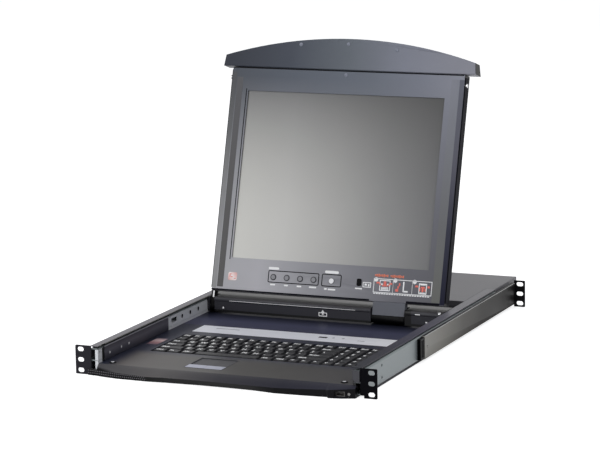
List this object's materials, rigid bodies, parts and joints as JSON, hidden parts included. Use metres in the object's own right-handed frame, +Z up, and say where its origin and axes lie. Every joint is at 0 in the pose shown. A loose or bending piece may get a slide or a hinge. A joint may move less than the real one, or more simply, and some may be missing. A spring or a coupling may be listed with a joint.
{
  "type": "rackmount lcd console drawer",
  "caption": "Rack-height console drawer: a tilting flat screen with an arched cap over a keyboard and touch pad, each on its own slides, with rack ears and a rear connector box.",
  "frame": {"origin": "centre of the front rack-hole pattern, on the front face of the front ears", "axes": "+X to the right of someone facing the front, +Y to the back of the rack, +Z up"},
  "size_m": [0.4826, 0.713, 0.452],
  "materials": {
    "black_steel": "satin black powder coat",
    "zinc_steel": "zinc plated",
    "grey_steel": "satin grey paint",
    "bracket_steel": "satin grey black paint",
    "deck_paint": "satin dark paint",
    "gloss_deck": "gloss",
    "slate_plastic": "satin",
    "black_plastic": "matt",
    "key_plastic": "matt",
    "silver_plastic": "silver paint",
    "pale_plastic": "satin",
    "screen_glass": "gloss",
    "cell": "satin",
    "rubber_black": "matt",
    "pin_steel": "polished",
    "board": "solder mask",
    "plated": "nickel"
  },
  "bodies": {
    "housing": {"front_ear_left": "black_steel", "front_ear_right": "black_steel", "slide_outer_left": "zinc_steel", "slide_outer_right": "zinc_steel", "top_flange_left": "grey_steel", "top_flange_right": "grey_steel", "bracket_guides": "black_plastic", "bottom_pan": "grey_steel", "rear_cover": "grey_steel", "rear_panel": "black_steel", "network_jacks": "black_plastic", "console_ports": "plated", "power_inlet": "black_plastic", "power_switch_frame": "black_plastic", "fan_frame": "black_plastic", "power_supply": "plated", "main_board": "board"},
    "left_bracket": {"rear_bracket_left": "bracket_steel"},
    "right_bracket": {"rear_bracket_right": "bracket_steel"},
    "fan_wheel": {"fan_rotor": "black_plastic"},
    "power_rocker": {"power_switch_rocker": "black_plastic"},
    "keyboard_middles": {"keyboard_slide_middles": "zinc_steel"},
    "keyboard_drawer": {"keyboard_slide_inners": "zinc_steel", "tray_pan": "black_steel", "key_deck": "deck_paint", "rear_deck": "gloss_deck", "status_strip": "pale_plastic", "front_lip": "black_plastic", "front_usb_socket": "plated", "key_base": "black_plastic", "touch_pad": "black_plastic", "rubber_bumpers": "rubber_black"},
    "reset": {"reset_button": "plated"},
    "left_touch_button": {"touch_button_left": "silver_plastic"},
    "right_touch_button": {"touch_button_right": "silver_plastic"},
    "display_middles": {"display_slide_middles": "zinc_steel"},
    "display_carriage": {"display_slide_inner_left": "zinc_steel", "display_slide_inner_right": "zinc_steel", "side_cover_left": "black_steel", "side_cover_right": "black_steel", "hinge_base": "grey_steel", "hinge_pins": "pin_steel"},
    "display_panel": {"hinge_leaves": "black_plastic", "lcd_bezel": "slate_plastic", "lcd_back_cover": "black_plastic", "lcd_glass": "screen_glass", "lcd_cell": "cell", "arched_cap": "slate_plastic", "latch_pins": "pin_steel"},
    "power_key": {"power_button": "silver_plastic"},
    "keys_1": {"key_row_1": "key_plastic"},
    "keys_2": {"key_row_2": "key_plastic"},
    "keys_3": {"key_row_3": "key_plastic"},
    "keys_4": {"key_row_4": "key_plastic"},
    "keys_5": {"key_row_5": "key_plastic"},
    "keys_6": {"key_row_6": "key_plastic"},
    "menu_1": {"menu_button_1": "black_plastic"},
    "menu_2": {"menu_button_2": "black_plastic"},
    "menu_3": {"menu_button_3": "black_plastic"},
    "menu_4": {"menu_button_4": "black_plastic"}
  },
  "joints": [
    {"name": "left_bracket_adjust", "type": "slide", "parent": "housing", "child": "left_bracket", "axis": [0, 1, 0], "range_m": [0, 0.15]},
    {"name": "right_bracket_adjust", "type": "slide", "parent": "housing", "child": "right_bracket", "axis": [0, 1, 0], "range_m": [0, 0.15]},
    {"name": "keyboard_slide", "type": "slide", "parent": "housing", "child": "keyboard_drawer", "axis": [0, -1, 0], "range_m": [0, 0.4]},
    {"name": "keyboard_middle_slide", "type": "slide", "parent": "housing", "child": "keyboard_middles", "axis": [0, -1, 0], "range_m": [0, 0.2]},
    {"name": "display_slide", "type": "slide", "parent": "housing", "child": "display_carriage", "axis": [0, -1, 0], "range_m": [0, 0.4]},
    {"name": "display_middle_slide", "type": "slide", "parent": "housing", "child": "display_middles", "axis": [0, -1, 0], "range_m": [0, 0.2]},
    {"name": "display_hinge", "type": "hinge", "parent": "display_carriage", "child": "display_panel", "pos_m": [0, 0.3886, 0.0054], "axis": [1, 0, 0], "range_deg": [-3.5, 106.5]},
    {"name": "fan_spin", "type": "hinge", "parent": "housing", "child": "fan_wheel", "pos_m": [0.0721, 0.68, -0.0009], "axis": [0, 1, 0], "continuous": true},
    {"name": "power_rocker_tip", "type": "hinge", "parent": "housing", "child": "power_rocker", "pos_m": [0.18208, 0.685, 0], "axis": [0, 0, 1], "range_deg": [-6, 6]},
    {"name": "reset_press", "type": "slide", "parent": "keyboard_drawer", "child": "reset", "axis": [0, 1, 0], "range_m": [0, 0.0006], "stiffness_N_per_m": 1500, "springref_m": -0.0004},
    {"name": "left_touch_button_press", "type": "slide", "parent": "keyboard_drawer", "child": "left_touch_button", "axis": [0, 0, -1], "range_m": [0, 0.0005], "stiffness_N_per_m": 1500, "springref_m": -0.0004},
    {"name": "right_touch_button_press", "type": "slide", "parent": "keyboard_drawer", "child": "right_touch_button", "axis": [0, 0, -1], "range_m": [0, 0.0005], "stiffness_N_per_m": 1500, "springref_m": -0.0004},
    {"name": "power_button_press", "type": "slide", "parent": "display_panel", "child": "power_key", "axis": [0, 0.9588, -0.284], "range_m": [0, 0.0008], "stiffness_N_per_m": 1500, "springref_m": -0.0004},
    {"name": "key_row_1_press", "type": "slide", "parent": "keyboard_drawer", "child": "keys_1", "axis": [0, 0, -1], "range_m": [0, 0.0017], "stiffness_N_per_m": 2500, "springref_m": -0.0006},
    {"name": "key_row_2_press", "type": "slide", "parent": "keyboard_drawer", "child": "keys_2", "axis": [0, 0, -1], "range_m": [0, 0.0017], "stiffness_N_per_m": 2500, "springref_m": -0.0006},
    {"name": "key_row_3_press", "type": "slide", "parent": "keyboard_drawer", "child": "keys_3", "axis": [0, 0, -1], "range_m": [0, 0.0017], "stiffness_N_per_m": 2500, "springref_m": -0.0006},
    {"name": "key_row_4_press", "type": "slide", "parent": "keyboard_drawer", "child": "keys_4", "axis": [0, 0, -1], "range_m": [0, 0.0017], "stiffness_N_per_m": 2500, "springref_m": -0.0006},
    {"name": "key_row_5_press", "type": "slide", "parent": "keyboard_drawer", "child": "keys_5", "axis": [0, 0, -1], "range_m": [0, 0.0017], "stiffness_N_per_m": 2500, "springref_m": -0.0006},
    {"name": "key_row_6_press", "type": "slide", "parent": "keyboard_drawer", "child": "keys_6", "axis": [0, 0, -1], "range_m": [0, 0.0017], "stiffness_N_per_m": 2500, "springref_m": -0.0006},
    {"name": "menu_button_1_press", "type": "slide", "parent": "display_panel", "child": "menu_1", "axis": [0, 0.9588, -0.284], "range_m": [0, 0.0008], "stiffness_N_per_m": 1500, "springref_m": -0.0004},
    {"name": "menu_button_2_press", "type": "slide", "parent": "display_panel", "child": "menu_2", "axis": [0, 0.9588, -0.284], "range_m": [0, 0.0008], "stiffness_N_per_m": 1500, "springref_m": -0.0004},
    {"name": "menu_button_3_press", "type": "slide", "parent": "display_panel", "child": "menu_3", "axis": [0, 0.9588, -0.284], "range_m": [0, 0.0008], "stiffness_N_per_m": 1500, "springref_m": -0.0004},
    {"name": "menu_button_4_press", "type": "slide", "parent": "display_panel", "child": "menu_4", "axis": [0, 0.9588, -0.284], "range_m": [0, 0.0008], "stiffness_N_per_m": 1500, "springref_m": -0.0004}
  ],
  "couplings": [
    {"joint": "keyboard_middle_slide", "follows": "keyboard_slide", "ratio": 0.5},
    {"joint": "display_middle_slide", "follows": "display_slide", "ratio": 0.5}
  ]
}
